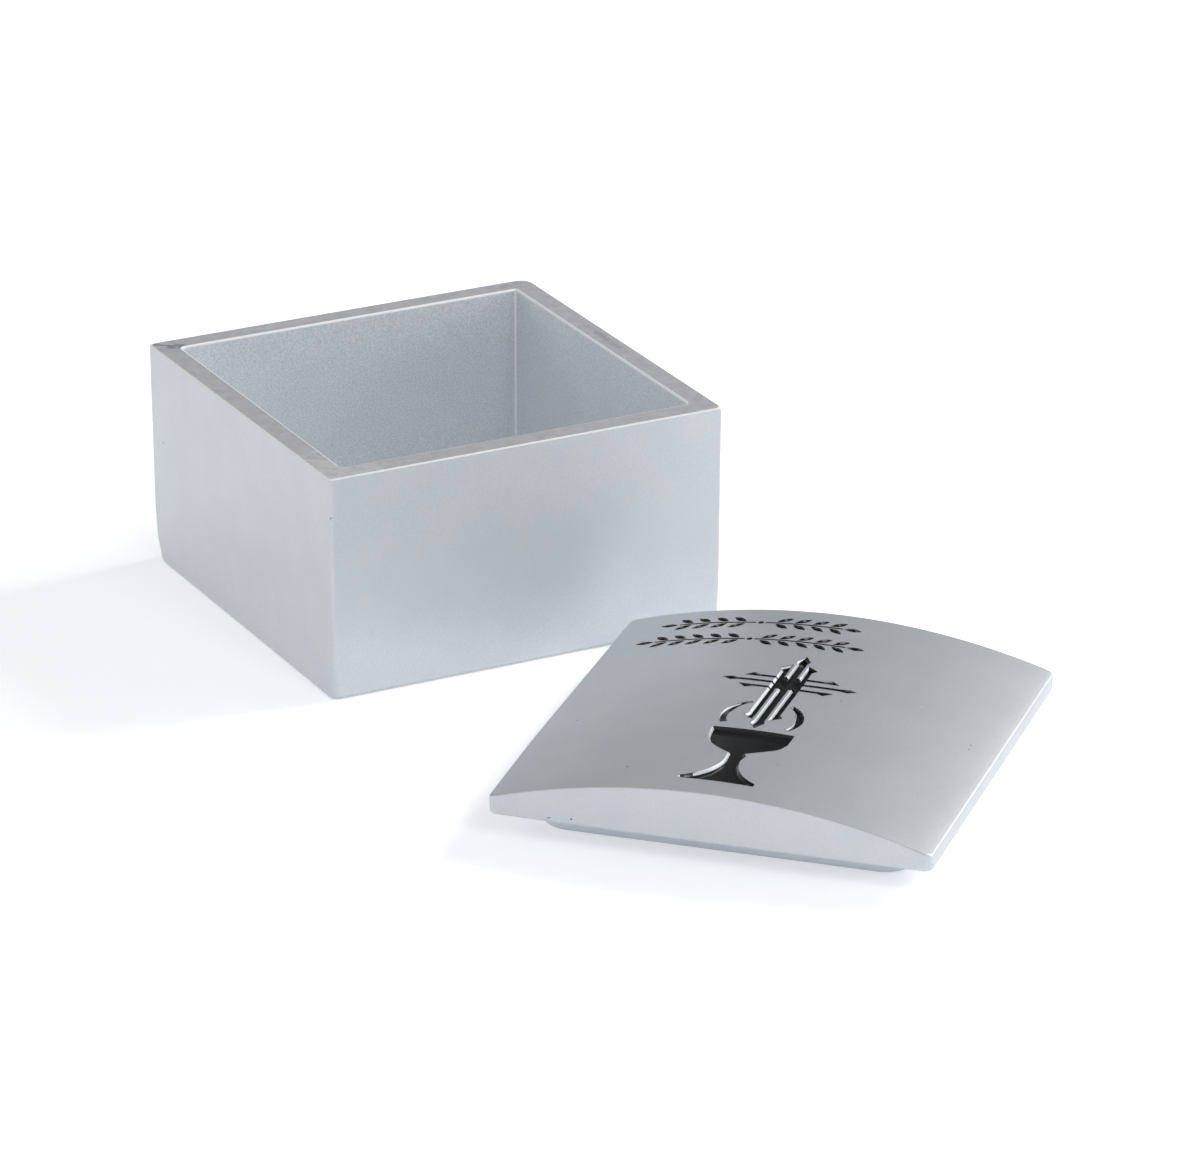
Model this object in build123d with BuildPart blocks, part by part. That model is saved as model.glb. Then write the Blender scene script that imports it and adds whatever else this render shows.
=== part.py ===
import math
import os

from build123d import *

# Keepsake box: a cast resin box and its lift-off lid, which lies beside it on the table.
# Millimetres, +Z up. The origin is the middle of the box's foot, and the box's front faces -Y.

# Box
box_width = 70.0  # left to right, at the rim
box_depth = 70.0  # front to back, at the rim
box_height = 38.0
wall = 4.0
floor_thickness = 4.0
draft_angle = 0.35  # degrees that the walls lean, so that the casting leaves its mould
corner_radius = 1.3
far_corner_radius = 2.4  # the back right corner is rounder than the others
foot_radius = 1.2
cavity_corner_radius = 1.6
cavity_floor_radius = 1.0
rim_edge_radius = 0.3

# Lid: a slab with a flat underside and an arched top, on a plug that drops into the box
lid_width = 70.0  # across the arch
lid_length = 73.5  # along the arch
lid_edge_height = 2.6  # at the low edges
lid_rise = 5.4  # from the low edges to the crown
lid_corner_radius = 1.0
lid_top_edge_radius = 0.4
lid_lower_edge_radius = 1.2
plug_height = 4.9
plug_clearance = 1.5  # all round, between the plug and the box's walls at the rim
plug_corner_radius = 4.0
plug_edge_radius = 1.2

# Where the lid lies: its nearest corner in front of the box, and its turn about the vertical
lid_gap = 7.4  # from the box's front to that corner
lid_corner_x = 14.6  # from the box's middle to that corner
lid_turn = -45.4  # degrees

# Emblem: sunk into the lid's top and filled with black enamel. Its X runs across the arch.
pocket_depth = 0.8
enamel_thickness = 0.35
enamel_clearance = 0.05  # all round, so that enamel and casting never share a face

# Cross of three bars each way, from its crossing
crossing_y = 7.4
bar_pitch = 1.92
middle_upright_width = 1.6
side_upright_width = 1.25
middle_level_width = 0.95
side_level_width = 0.8
middle_bar_reach = 10.9
side_bar_reach = 7.6
cross_foot_extra = 7.1  # how much further the upright's bars reach down than up
upright_head_spread = 0.5  # how far a bar's pointed head stands out on each side
level_head_spread = 0.35
head_neck = 1.1  # from the neck to the head's widest point
head_point = 1.8  # from the widest point to the tip

# Host: two arcs of a ring behind the foot of the cross
host_radius = 6.6
host_y = -6.6
host_stroke = 1.0
host_top_angle = 60.0  # degrees above the level, where an arc starts
host_bottom_angle = -33.0

# Chalice: half widths, and heights above the foot
chalice_foot_y = -31.8
chalice_foot_half = 6.1
chalice_foot_edge = 0.9
chalice_stem_half = 1.15
chalice_stem_top = 8.6
chalice_knop_half = 1.8
chalice_knop_height = 10.2
chalice_neck_half = 1.4
chalice_neck_height = 10.95
chalice_bowl_half = 6.5
chalice_height = 20.1
bowl_shoulder_half = 5.4
bowl_shoulder_height = 14.1

# Worked out from the sizes above
cavity_width = box_width - 2 * wall
cavity_depth = box_depth - 2 * wall
plug_width = cavity_width - 2 * plug_clearance
plug_length = cavity_depth - 2 * plug_clearance
arch_radius = ((lid_width / 2) ** 2 + lid_rise**2) / (2 * lid_rise)
arch_centre_z = plug_height + lid_edge_height + lid_rise - arch_radius
lid_crown_z = arch_centre_z + arch_radius
turn = math.radians(lid_turn)
lid_x = lid_corner_x + (lid_width * math.cos(turn) + lid_length * math.sin(turn)) / 2
lid_y = -box_depth / 2 - lid_gap + (lid_width * math.sin(turn) - lid_length * math.cos(turn)) / 2
lid_place = Plane(origin=(lid_x, lid_y, 0), x_dir=(math.cos(turn), math.sin(turn), 0), z_dir=(0, 0, 1))
lid_front = Plane(origin=lid_place.origin, x_dir=lid_place.x_dir, z_dir=-lid_place.y_dir)

os.makedirs("parts", exist_ok=True)


def rounded_box_outline(width, depth, radius, far_radius):
    """A rectangle seen from above, whose back right corner has its own radius."""
    with BuildSketch(Plane.XY.offset(box_height)) as outline:
        Rectangle(width, depth)
        *others, far_corner = outline.vertices().sort_by(lambda corner: corner.X + corner.Y)
        fillet(others, radius)
        fillet(far_corner, far_radius)
    return outline.sketch


# The box is drawn at its rim and drawn down to its foot with a little draft
with BuildPart() as box_base:
    extrude(
        rounded_box_outline(box_width, box_depth, corner_radius, far_corner_radius),
        amount=-box_height,
        taper=draft_angle,
    )
    fillet(box_base.edges().group_by(Axis.Z)[0], foot_radius)
    extrude(
        rounded_box_outline(cavity_width, cavity_depth, cavity_corner_radius, cavity_corner_radius),
        amount=-(box_height - floor_thickness),
        taper=draft_angle,
        mode=Mode.SUBTRACT,
    )
    cavity_floor = box_base.faces().filter_by(Plane.XY).sort_by(Axis.Z)[1]
    fillet(cavity_floor.edges(), cavity_floor_radius)
    fillet(box_base.edges().group_by(Axis.Z)[-1], rim_edge_radius)
box_base.part.label = "box_base"


def arch_body(radius, thickness_below):
    """What lies under a cylinder of this radius about the arch's axis, over the lid's whole length."""
    half = lid_width / 2
    with BuildPart() as body:
        with BuildSketch(lid_front):
            with BuildLine():
                side_z = arch_centre_z + math.sqrt(radius**2 - half**2)
                arch = ThreePointArc((-half, side_z), (0, arch_centre_z + radius), (half, side_z))
                Polyline(arch @ 1, (half, thickness_below), (-half, thickness_below), arch @ 0)
            make_face()
        extrude(amount=lid_length / 2, both=True)
    return body.part


def bar_points(low, high, width, left_spread, right_spread):
    """An upright bar from low to high about x = 0, with a pointed head at each end.
    A side with no spread stays straight, and then the tip is on that side."""
    half = width / 2
    tip_x = (left_spread > 0) * (half if right_spread == 0 else 0) - (left_spread == 0) * half
    wide_low, wide_high = low + head_point, high - head_point
    return [
        (tip_x, high),
        (half + right_spread, wide_high),
        (half, wide_high - head_neck),
        (half, wide_low + head_neck),
        (half + right_spread, wide_low),
        (tip_x, low),
        (-half - left_spread, wide_low),
        (-half, wide_low + head_neck),
        (-half, wide_high - head_neck),
        (-half - left_spread, wide_high),
    ]


def three_bars(middle_width, side_width, spread, low_extra):
    """Three parallel upright bars about the origin: a long one, and a shorter one on each side."""
    with BuildSketch() as bars:
        low, high = -middle_bar_reach - low_extra, middle_bar_reach
        Polygon(*bar_points(low, high, middle_width, spread, spread), align=None)
        low, high = -side_bar_reach - low_extra, side_bar_reach
        with Locations((-bar_pitch, 0)):
            Polygon(*bar_points(low, high, side_width, spread, 0), align=None)
        with Locations((bar_pitch, 0)):
            Polygon(*bar_points(low, high, side_width, 0, spread), align=None)
    return bars.sketch


def cross_sketch():
    with BuildSketch(lid_place) as cross:
        with Locations((0, crossing_y)):
            add(three_bars(middle_upright_width, side_upright_width, upright_head_spread, cross_foot_extra))
            add(three_bars(middle_level_width, side_level_width, level_head_spread, 0), rotation=90)
            Rectangle(2 * bar_pitch, 2 * bar_pitch)
    return cross


def host_sketch():
    """Two arcs of a ring, thickest where they pass the level of its centre."""
    middle_angle = (host_top_angle + host_bottom_angle) / 2
    with BuildSketch(lid_place) as host:
        with BuildLine():
            top, middle, bottom = [
                Vector(host_radius, 0).rotate(Axis.Z, angle) + Vector(0, host_y)
                for angle in (host_top_angle, middle_angle, host_bottom_angle)
            ]
            inward = Vector(host_stroke, 0).rotate(Axis.Z, middle_angle)
            outer = ThreePointArc(top, middle, bottom)
            inner = ThreePointArc(top - inward / 2, middle - inward, bottom - inward / 2)
            Line(outer @ 0, inner @ 0)
            Line(outer @ 1, inner @ 1)
        make_face()
        mirror(about=Plane.YZ)
    return host


def chalice_sketch():
    """The right half, from the rim down to the foot, then mirrored."""
    foot = chalice_foot_y
    with BuildSketch(lid_place) as chalice:
        with BuildLine():
            rim = Line((0, foot + chalice_height), (chalice_bowl_half, foot + chalice_height))
            shoulder = (bowl_shoulder_half, foot + bowl_shoulder_height)
            upper_bowl = TangentArc(rim @ 1, shoulder, tangent=(0, -1))
            neck = (chalice_neck_half, foot + chalice_neck_height)
            lower_bowl = TangentArc(shoulder, neck, tangent=upper_bowl % 1)
            knop = (chalice_knop_half, foot + chalice_knop_height)
            stem_top = (chalice_stem_half, foot + chalice_stem_top)
            Polyline(neck, knop, stem_top)
            foot_top = (chalice_foot_half, foot + chalice_foot_edge)
            flare = TangentArc(stem_top, foot_top, tangent=(0, -1))
            base = Polyline(flare @ 1, (chalice_foot_half, foot), (0, foot))
            Line(base @ 1, rim @ 0)
        make_face()
        mirror(about=Plane.YZ)
    return chalice


emblem = {"cross": cross_sketch, "host": host_sketch, "chalice": chalice_sketch}
floor_radius = arch_radius - pocket_depth

# Everything above the pockets' curved floor, inside the emblem's outlines
with BuildPart() as pockets:
    for draw in emblem.values():
        extrude(draw().sketch, amount=lid_crown_z + pocket_depth)
    add(arch_body(floor_radius, 0), mode=Mode.SUBTRACT)

with BuildPart() as lid:
    add(arch_body(arch_radius, plug_height))
    corners = lid.edges().filter_by(Axis.Z)
    fillet(corners, lid_corner_radius)
    fillet(lid.edges().group_by(Axis.Z)[0], lid_lower_edge_radius)
    arched_top = lid.faces().filter_by(GeomType.CYLINDER).sort_by(SortBy.AREA)[-1]
    fillet(arched_top.edges(), lid_top_edge_radius)
    with BuildSketch(lid_place.offset(plug_height)):
        RectangleRounded(plug_width, plug_length, plug_corner_radius)
    extrude(amount=-plug_height)
    fillet(lid.edges().group_by(Axis.Z)[0], plug_edge_radius)
    add(pockets.part, mode=Mode.SUBTRACT)
lid.part.label = "lid"


def enamel(draw):
    """A thin plate of enamel that lies on its pocket's floor and follows the arch."""
    with BuildPart() as plate:
        with BuildSketch(lid_place):
            add(draw().sketch_local)
            offset(amount=-enamel_clearance, kind=Kind.INTERSECTION)
        extrude(amount=lid_crown_z + pocket_depth)
        underside = floor_radius + enamel_clearance
        add(arch_body(underside, 0), mode=Mode.SUBTRACT)
        add(arch_body(underside + enamel_thickness, 0), mode=Mode.INTERSECT)
    return plate


export_step(box_base.part, "parts/box_base.step")
export_step(lid.part, "parts/lid.step")
for name, draw in emblem.items():
    plate = enamel(draw)
    plate.part.label = name + "_enamel"
    export_step(plate.part, "parts/" + name + "_enamel.step")
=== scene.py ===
# %% [markdown]
# # A cast resin keepsake box
#
# The real object is a small square box and a loose lid. Both are cast in resin in a mould, sanded
# flat on the box's rim, and sprayed with a satin silver paint. An emblem and two rows of leaves are
# sunk into the lid's arched top and filled with glossy black enamel. This lesson builds both
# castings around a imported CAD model, which says where everything is and how big it is.
#
# A casting looks real through small things: edges that are never quite sharp, corners that get
# rounder towards the foot, paint that gathers at an edge, grit inside, and a few pinholes. So each
# piece is modelled with those.

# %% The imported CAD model
import math

import bmesh
import bpy
from mathutils import Matrix, Vector


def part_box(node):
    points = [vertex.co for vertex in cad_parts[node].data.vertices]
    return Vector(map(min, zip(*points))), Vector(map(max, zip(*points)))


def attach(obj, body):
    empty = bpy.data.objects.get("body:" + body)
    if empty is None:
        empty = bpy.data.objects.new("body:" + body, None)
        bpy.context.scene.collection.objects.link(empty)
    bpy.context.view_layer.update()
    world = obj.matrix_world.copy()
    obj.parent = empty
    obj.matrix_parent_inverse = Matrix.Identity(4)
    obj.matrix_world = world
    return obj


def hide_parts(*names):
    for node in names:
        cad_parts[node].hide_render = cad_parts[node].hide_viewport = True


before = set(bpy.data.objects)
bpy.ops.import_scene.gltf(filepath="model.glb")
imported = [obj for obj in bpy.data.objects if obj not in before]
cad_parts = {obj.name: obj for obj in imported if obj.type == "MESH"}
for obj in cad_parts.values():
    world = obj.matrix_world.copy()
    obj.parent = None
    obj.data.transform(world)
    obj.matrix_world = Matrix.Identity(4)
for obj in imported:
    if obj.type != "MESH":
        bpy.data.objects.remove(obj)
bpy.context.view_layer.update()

# %% [markdown]
# ## Sizes
#
# Blender works in metres here, and a maker thinks of this box in millimetres, so one small function
# turns millimetres into metres. The sizes are the CAD model's own.

# %% Sizes in millimetres
MM = 0.001
MICRON = 1e-6  # a micrometre in metres
SNAP = 1e-7  # metres: a vertex this near to a slice is taken as on it
BOX_SIDE = 70.0
BOX_HEIGHT = 38.0
WALL = 4.0
FLOOR = 4.0
DRAFT = math.tan(math.radians(0.35))  # how far a wall leans for each millimetre of height
LID_WIDTH = 70.0  # across the arch
LID_LENGTH = 73.5  # along the arch
PLUG_HEIGHT = 4.9
PLUG_SIDE = 59.0
LID_CROWN = 12.9  # height of the arch's crown when the lid lies on its plug
LID_RISE = 5.4  # from the arch's low edges to its crown
LID_TURN = math.radians(-45.4)
ARCH_RADIUS = ((LID_WIDTH / 2) ** 2 + LID_RISE**2) / (2 * LID_RISE)

low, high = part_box("lid")
LID_X, LID_Y = (low.x + high.x) / 2, (low.y + high.y) / 2


def mm(*values):
    """Millimetres as metres."""
    return tuple(value * MM for value in values)


print(f"arch radius {ARCH_RADIUS:.1f} mm, lid centre {LID_X:.4f} {LID_Y:.4f} m")

# %% [markdown]
# ## Working by hand, in code
#
# In Blender a modeller adds a primitive, goes into edit mode, selects some vertices, edges or
# faces, and runs an operator on them. The same steps work from a script when the selection is made
# by place or by normal. These helpers do that: they select one object, enter edit mode, pick
# elements, bevel or slice them, and run a modifier or a Boolean.


# %% Helpers for modelling
def only(piece):
    """Selects this object and no other, and makes it the active one."""
    bpy.ops.object.select_all(action="DESELECT")
    piece.select_set(True)
    bpy.context.view_layer.objects.active = piece


def new_piece(name):
    """Names the primitive that was just added, and puts its place and scale into its mesh."""
    piece = bpy.context.active_object
    piece.name = piece.data.name = name
    only(piece)
    bpy.ops.object.transform_apply(location=True, rotation=True, scale=True)
    return piece


def edit(piece):
    """Enters edit mode with nothing selected."""
    only(piece)
    bpy.ops.object.mode_set(mode="EDIT")
    bpy.ops.mesh.select_all(action="DESELECT")


def edit_done():
    bpy.ops.object.mode_set(mode="OBJECT")


def pick(piece, kind, wanted):
    """In edit mode, selects exactly the vertices, edges or faces for which wanted(element) is true."""
    bpy.ops.mesh.select_mode(type=kind)
    bpy.ops.mesh.select_all(action="DESELECT")
    mesh = bmesh.from_edit_mesh(piece.data)
    elements = {"VERT": mesh.verts, "EDGE": mesh.edges, "FACE": mesh.faces}[kind]
    for element in [element for element in elements if wanted(element)]:
        element.select_set(True)
    bmesh.update_edit_mesh(piece.data)


def middle(edge):
    return (edge.verts[0].co + edge.verts[1].co) / 2


def is_level(edge, height):
    """True for an edge that lies level at this height in millimetres."""
    return all(abs(vertex.co.z - height * MM) < 2e-6 for vertex in edge.verts)


def is_upright(edge, length):
    """True for an edge that climbs at least this many millimetres."""
    return abs(edge.verts[0].co.z - edge.verts[1].co.z) > length * MM


def at_corner(edge, side_x, side_y, reach):
    """True for a long upright edge at this corner, further out than reach millimetres each way."""
    place = middle(edge)
    return is_upright(edge, 30) and min(place.x * side_x, place.y * side_y) > reach * MM


def bevel(width, segments, **settings):
    """In edit mode, bevels the picked edges by this many millimetres."""
    bpy.ops.mesh.bevel(
        offset=width * MM, segments=segments, affect="EDGES", clamp_overlap=False, **settings
    )


def slice_through(place, normal):
    """In edit mode, slices the whole mesh along the plane through this place."""
    bpy.ops.mesh.select_all(action="SELECT")
    bpy.ops.mesh.bisect(plane_co=place, plane_no=normal, threshold=SNAP)


def modify(piece, kind, **settings):
    """Adds a modifier with its settings and applies it."""
    only(piece)
    modifier = piece.modifiers.new(kind.lower(), kind)
    for name, value in settings.items():
        setattr(modifier, name, value)
    bpy.ops.object.modifier_apply(modifier=modifier.name)


def cut(piece, cutter, operation="DIFFERENCE", **settings):
    """Cuts the cutter out of the piece, or joins it on, and throws the cutter away."""
    modify(piece, "BOOLEAN", object=cutter, operation=operation, solver="EXACT", **settings)
    bpy.data.objects.remove(cutter, do_unlink=True)


def round_level(piece, wanted, width, segments, share_of, **settings):
    """Rounds the level edges that wanted(edge) picks. share_of(outward) is each edge's share of
    the full width."""
    edit(piece)
    mesh = bmesh.from_edit_mesh(piece.data)
    layers = mesh.edges.layers.float
    weight = layers.get("bevel_weight_edge") or layers.new("bevel_weight_edge")
    for edge in mesh.edges:
        along = (edge.verts[1].co - edge.verts[0].co).normalized()
        outward = Vector((along.y, -along.x, 0))
        if outward.dot(middle(edge)) < 0:
            outward.negate()
        edge[weight] = share_of(outward) if wanted(edge) else 0.0
    bmesh.update_edit_mesh(piece.data)
    edit_done()
    modify(
        piece,
        "BEVEL",
        width=width * MM,
        segments=segments,
        limit_method="WEIGHT",
        use_clamp_overlap=False,
        **settings,
    )


def smooth(piece, angle=30):
    """Shades a piece smooth, and weights its normals by area, so that flats beside a bevel stay flat."""
    only(piece)
    bpy.ops.object.shade_smooth_by_angle(angle=math.radians(angle))
    modify(piece, "WEIGHTED_NORMAL", weight=90, keep_sharp=True)


# %% [markdown]
# ## The camera
#
# The photograph was taken from well back with a long lens, so the upright edges hardly converge.
# The angle, distance and focal length were worked out from the straight edges of the box and the
# lid. The camera is made first, because all that follows is judged through it.

# %% Camera
VIEW_AZIMUTH = math.radians(-27.458)
VIEW_ELEVATION = math.radians(22.111)
VIEW_DISTANCE = 1050.09  # millimetres
VIEW_TARGET = Vector(mm(9.59, -41.07, 15.5))

towards_camera = Vector(
    (
        math.sin(VIEW_AZIMUTH) * math.cos(VIEW_ELEVATION),
        -math.cos(VIEW_AZIMUTH) * math.cos(VIEW_ELEVATION),
        math.sin(VIEW_ELEVATION),
    )
)
bpy.ops.object.camera_add(location=VIEW_TARGET + towards_camera * VIEW_DISTANCE * MM)
camera = bpy.context.active_object
camera.rotation_euler = (-towards_camera).to_track_quat("-Z", "Y").to_euler()
camera.data.sensor_width = 36.0
camera.data.lens = 196.78
camera.data.clip_start, camera.data.clip_end = 0.05, 50.0
bpy.context.scene.camera = camera
print("camera at", [round(value, 4) for value in camera.location])

# %% [markdown]
# ## Materials
#
# A material starts from what the real finish is and how it was made. Two small functions are
# enough: one turns an sRGB hex colour into the linear values that Blender's sockets take, and one
# adds a node with its settings and links. Patterns read Object coordinates in metres, so a
# pattern's scale is one over its real size.


# %% Helpers for materials
def colour(code):
    """An sRGB hex colour, such as #C8CCD2, as linear red, green, blue and alpha."""
    channels = [int(code[start : start + 2], 16) / 255 for start in (1, 3, 5)]
    return [c / 12.92 if c <= 0.04045 else ((c + 0.055) / 1.055) ** 2.4 for c in channels] + [1.0]


def add_node(tree, kind, sockets=None, **settings):
    """Adds a shader node. A socket gets a value, or the output of another node to link."""
    node = tree.nodes.new("ShaderNode" + kind)
    for name, value in settings.items():
        setattr(node, name, value)
    for name, value in (sockets or {}).items():
        if isinstance(value, bpy.types.NodeSocket):
            tree.links.new(value, node.inputs[name])
        else:
            node.inputs[name].default_value = value
    return node


def new_material(name):
    """A material with its shader, and the Object coordinates that its patterns read."""
    material = bpy.data.materials.new(name)
    material.use_nodes = True
    tree = material.node_tree
    place = add_node(tree, "TexCoord").outputs["Object"]
    return material, tree, tree.nodes["Principled BSDF"], place


def per_metre(size_in_mm):
    """The scale of a noise whose features are this big."""
    return 1 / (size_in_mm * MM)


# %% [markdown]
# ### Satin silver paint
#
# The outside is sprayed with a silver lacquer: fine aluminium flakes in a clear binder over a grey
# primer. The flakes make it partly metallic, and the binder leaves it satin, with a soft sheen
# rather than a mirror. Up close it has a very fine grain. The real flakes are about 0.03 mm, too
# fine to show, so the grain is drawn at 0.16 mm. A slow variation of a few millimetres stands for
# the uneven coats. The inside gets the same recipe with coarser grit and a less metallic colour, as
# dry overspray settles there and is never rubbed down. Its paler colour is partly the overspray and
# partly painted light, which brightens the cavity beyond what the lamps give it.


# %% Silver paint
def silver_paint(name, dark, light, grain, grain_depth, wave_depth, roughness, metallic):
    """Sprayed silver lacquer: grain in millimetres, and the depth of grain and waves in micrometres."""
    material, tree, shader, place = new_material(name)
    coats = add_node(
        tree, "TexNoise", {"Vector": place, "Scale": per_metre(9.0), "Detail": 3.0, "Roughness": 0.55}
    )
    flakes = add_node(
        tree, "TexNoise", {"Vector": place, "Scale": per_metre(grain), "Detail": 2.0, "Roughness": 0.6}
    )
    blend = add_node(tree, "MapRange", {"Value": flakes.outputs["Fac"], "From Min": 0.3, "From Max": 0.7})
    paint = add_node(
        tree, "Mix", {0: blend.outputs["Result"], 6: colour(dark), 7: colour(light)}, data_type="RGBA"
    )
    tint = add_node(
        tree,
        "Mix",
        {0: coats.outputs["Fac"], 6: colour("#F4F4F8"), 7: colour("#FFFFFD")},
        data_type="RGBA",
    )
    tinted = add_node(
        tree,
        "Mix",
        {0: 1.0, 6: paint.outputs[2], 7: tint.outputs[2]},
        data_type="RGBA",
        blend_type="MULTIPLY",
    )
    sheen = add_node(
        tree,
        "MapRange",
        {
            "Value": flakes.outputs["Fac"],
            "From Min": 0.3,
            "From Max": 0.7,
            "To Min": roughness - 0.04,
            "To Max": roughness + 0.04,
        },
    )
    waves = add_node(tree, "Bump", {"Height": coats.outputs["Fac"], "Distance": wave_depth * MICRON})
    grains = add_node(
        tree,
        "Bump",
        {
            "Height": flakes.outputs["Fac"],
            "Distance": grain_depth * MICRON,
            "Normal": waves.outputs["Normal"],
        },
    )
    tree.links.new(tinted.outputs[2], shader.inputs["Base Color"])
    tree.links.new(sheen.outputs["Result"], shader.inputs["Roughness"])
    tree.links.new(grains.outputs["Normal"], shader.inputs["Normal"])
    shader.inputs["Metallic"].default_value = metallic
    return material


satin_silver = silver_paint("satin_silver_lacquer", "#CDD2D6", "#DCE0E4", 0.16, 5.0, 30.0, 0.50, 0.75)
# the inside's paler colour is partly overspray, partly painted light that brightens the cavity
gritty_silver_lightened = silver_paint("gritty_overspray_and_painted_light", "#D2D8DE", "#F3F6F9", 0.30, 40.0, 40.0, 0.58, 0.25)
print("paints:", satin_silver.name, gritty_silver_lightened.name)

# %% [markdown]
# ### Sanded resin
#
# The box's rim was rubbed flat on abrasive paper after casting, so the bare resin shows: a dull,
# slightly warm grey with stone powder in it, soft blotches from the sanding, dark powder left in a
# few places, and no shine.


# %% Bare resin
# x, y, length in x and in y, strength and colour: dark powder by both back corners and half way along
# the right side, pale dust by the front left corner and along the back
SMUDGES = [
    (-31.5, 31.6, 3.4, 2.2, 0.75, "#6F767E"),
    (33.2, 2.0, 1.2, 11.0, 0.5, "#7C8289"),
    (31.0, 33.0, 5.0, 2.0, 0.3, "#7C8289"),
    (-33.0, -33.0, 16.0, 16.0, 0.8, "#C6C8CA"),
    (-12.0, 33.5, 22.0, 1.4, 0.6, "#C0C1C4"),
]
SMUDGE_RISE = 9.0  # their length in z


def sanded_resin():
    material, tree, shader, place = new_material("sanded_bare_resin")
    powder = add_node(
        tree, "TexNoise", {"Vector": place, "Scale": per_metre(0.25), "Detail": 3.0, "Roughness": 0.6}
    )
    speckle = add_node(
        tree,
        "Mix",
        {0: powder.outputs["Fac"], 6: colour("#ABADB0"), 7: colour("#C4C5C8")},
        data_type="RGBA",
    )
    # the sanding left soft blotches about 2 mm across
    blotches = add_node(
        tree, "TexNoise", {"Vector": place, "Scale": per_metre(2.0), "Detail": 3.0, "Roughness": 0.55}
    )
    blotch = add_node(
        tree, "MapRange", {"Value": blotches.outputs["Fac"], "From Min": 0.35, "From Max": 0.65}
    )
    blotched = add_node(
        tree,
        "Mix",
        {0: blotch.outputs["Result"], 6: colour("#EDEDEF"), 7: colour("#FFFFFF")},
        data_type="RGBA",
    )
    sanded = add_node(
        tree,
        "Mix",
        {0: 1.0, 6: speckle.outputs[2], 7: blotched.outputs[2]},
        data_type="RGBA",
        blend_type="MULTIPLY",
    )
    # each smudge is a soft patch whose edge a fine noise breaks up
    stained = sanded.outputs[2]
    ragged = add_node(
        tree, "TexNoise", {"Vector": place, "Scale": per_metre(1.6), "Detail": 4.0, "Roughness": 0.65}
    )
    for x, y, long_x, long_y, most, code in SMUDGES:
        centred = add_node(tree, "VectorMath", {0: place, 1: mm(x, y, BOX_HEIGHT)}, operation="SUBTRACT")
        shaped = add_node(
            tree,
            "VectorMath",
            {0: centred.outputs[0], 1: (per_metre(long_x), per_metre(long_y), per_metre(SMUDGE_RISE))},
            operation="MULTIPLY",
        )
        reach = add_node(tree, "VectorMath", {0: shaped.outputs[0]}, operation="LENGTH")
        fade = add_node(
            tree,
            "MapRange",
            {"Value": reach.outputs["Value"], "From Min": 0.3, "To Min": 0.3, "To Max": 0.0},
        )
        dirty = add_node(
            tree, "Math", {0: ragged.outputs["Fac"], 1: fade.outputs["Result"]}, operation="ADD"
        )
        amount = add_node(
            tree,
            "MapRange",
            {"Value": dirty.outputs[0], "From Min": 0.66, "From Max": 0.84, "To Min": 0.0, "To Max": most},
        )
        stained = add_node(
            tree,
            "Mix",
            {0: amount.outputs["Result"], 6: stained, 7: colour(code)},
            data_type="RGBA",
        ).outputs[2]
    dusty = add_node(tree, "Bump", {"Height": powder.outputs["Fac"], "Distance": 14.0 * MICRON})
    tree.links.new(stained, shader.inputs["Base Color"])
    tree.links.new(dusty.outputs["Normal"], shader.inputs["Normal"])
    shader.inputs["Roughness"].default_value = 0.62
    return material


bare_resin = sanded_resin()
print("resin:", bare_resin.name, "with", len(SMUDGES), "smudges")

# %% [markdown]
# ### Black enamel
#
# The emblem's pockets were flooded with a gloss black enamel. It wets the walls as well as the
# floor and dries with a hollow, glassy surface, in which fine dust leaves a slight grit. The same
# kind of speckle, in other colours, serves for the small finishes after it.


# %% Enamel
def speckled(name, dark, light, size, depth, roughness, detail=3.0):
    """Two close colours mixed by a noise of this size in millimetres, and a bump of this depth in
    micrometres."""
    material, tree, shader, place = new_material(name)
    noise = add_node(
        tree, "TexNoise", {"Vector": place, "Scale": per_metre(size), "Detail": detail, "Roughness": 0.6}
    )
    mix = add_node(
        tree, "Mix", {0: noise.outputs["Fac"], 6: colour(dark), 7: colour(light)}, data_type="RGBA"
    )
    bump = add_node(tree, "Bump", {"Height": noise.outputs["Fac"], "Distance": depth * MICRON})
    tree.links.new(mix.outputs[2], shader.inputs["Base Color"])
    tree.links.new(bump.outputs["Normal"], shader.inputs["Normal"])
    shader.inputs["Roughness"].default_value = roughness
    return material


black_enamel = speckled("gloss_black_enamel", "#17191A", "#26292A", 0.22, 10.0, 0.14, detail=2.0)
print("enamel:", black_enamel.name)

# %% [markdown]
# ### Painted highlights on the edges, and painted shade in the pinholes
#
# Wet paint pulls away from a sharp outer edge and gathers along an inner one. So the inner edges
# carry a bead of silver, whose near-white colour is a painted highlight: the bright line that the
# bead catches is painted into it. The outer edges show a thin pale line, partly wear to the resin
# and partly a painted highlight, which along the back also paints over the edge's shade. A few
# pinholes, left by air in the mould, get a dark brown colour, which is painted shade for their
# insides.

# %% Edges and pinholes
# near white: a painted highlight, for the bright line on inner edges, the far inner corner and nibs
bead_highlight_paint = speckled("silver_bead_painted_highlight", "#EEF0F2", "#FCFDFD", 0.6, 10.0, 0.35)
# near white: partly wear to the resin, partly a painted highlight, and on the back edge painted-over shade
worn_edge_and_highlight = speckled("worn_resin_and_painted_highlight_edge", "#EDEDEB", "#F9F9F6", 0.8, 8.0, 0.55)
# dark brown: painted shade for the inside of a pinhole
pinhole_shade = speckled("pinhole_painted_shade", "#4C4744", "#6E655E", 0.2, 20.0, 0.8)
print("edge finishes:", bead_highlight_paint.name, worn_edge_and_highlight.name, pinhole_shade.name)

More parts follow.
